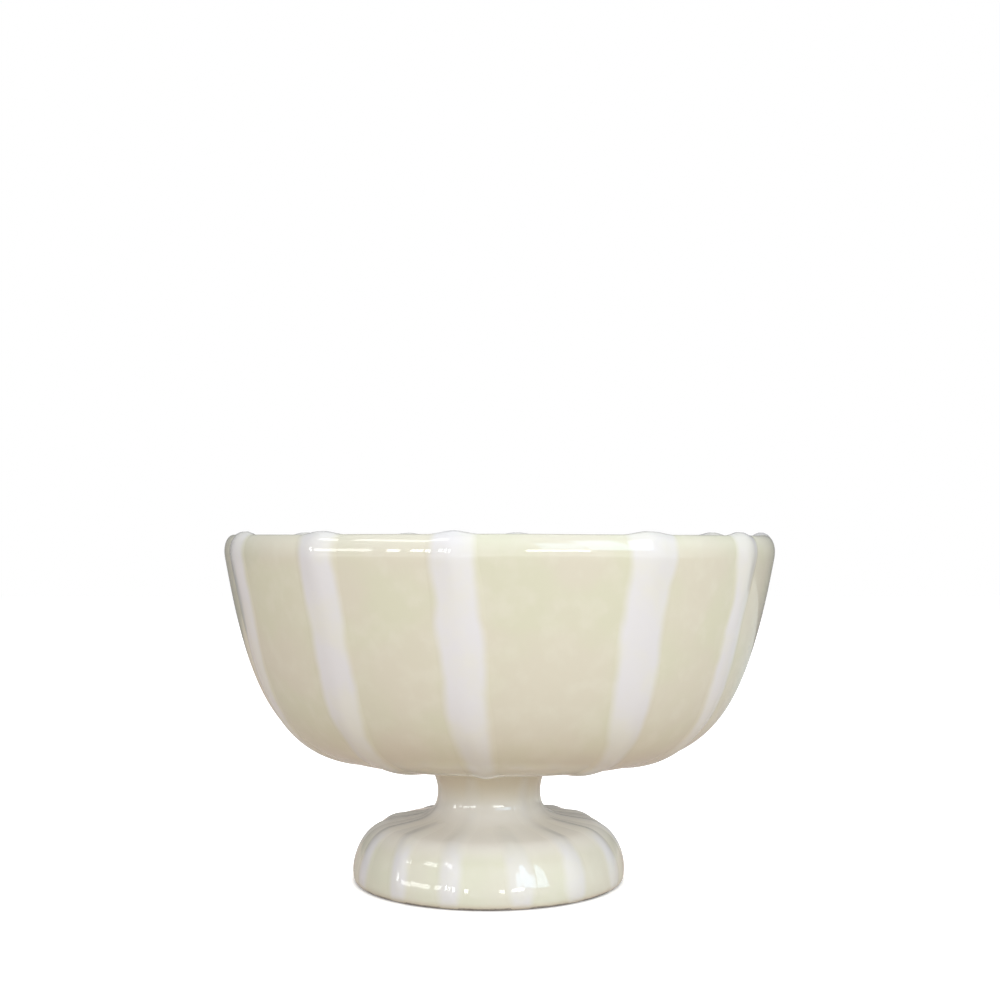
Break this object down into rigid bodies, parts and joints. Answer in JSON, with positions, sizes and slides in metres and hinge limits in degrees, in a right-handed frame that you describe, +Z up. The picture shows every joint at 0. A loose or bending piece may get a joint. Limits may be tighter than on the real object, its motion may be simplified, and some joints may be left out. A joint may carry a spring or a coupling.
{
  "type": "dessert cup",
  "caption": "Footed dessert cup: a deep rounded bowl with a soft lip on a short waisted stem and domed foot, cream glaze with raised white bands.",
  "frame": {"origin": "on the bowl's axis, in the plane that the standing ring rests on", "axes": "+Z up through the bowl; -Y toward the viewer of the picture; +X to the viewer's right"},
  "size_m": [0.1262, 0.126, 0.0792],
  "materials": {
    "cream_glaze": "gloss",
    "slip_joint": "gloss",
    "white_glaze": "gloss"
  },
  "bodies": {
    "root": {"bowl": "cream_glaze", "pedestal": "cream_glaze", "luting_slip": "slip_joint", "bowl_band_01": "white_glaze", "bowl_band_02": "white_glaze", "bowl_band_03": "white_glaze", "bowl_band_04": "white_glaze", "bowl_band_05": "white_glaze", "bowl_band_06": "white_glaze", "bowl_band_07": "white_glaze", "bowl_band_08": "white_glaze", "bowl_band_09": "white_glaze", "bowl_band_10": "white_glaze", "bowl_band_11": "white_glaze", "bowl_band_12": "white_glaze", "foot_band_01": "white_glaze", "foot_band_02": "white_glaze", "foot_band_03": "white_glaze", "foot_band_04": "white_glaze", "foot_band_05": "white_glaze", "foot_band_06": "white_glaze", "foot_band_07": "white_glaze", "foot_band_08": "white_glaze", "foot_band_09": "white_glaze", "foot_band_10": "white_glaze", "foot_band_11": "white_glaze", "foot_band_12": "white_glaze", "foot_band_13": "white_glaze", "foot_band_14": "white_glaze"}
  },
  "joints": []
}
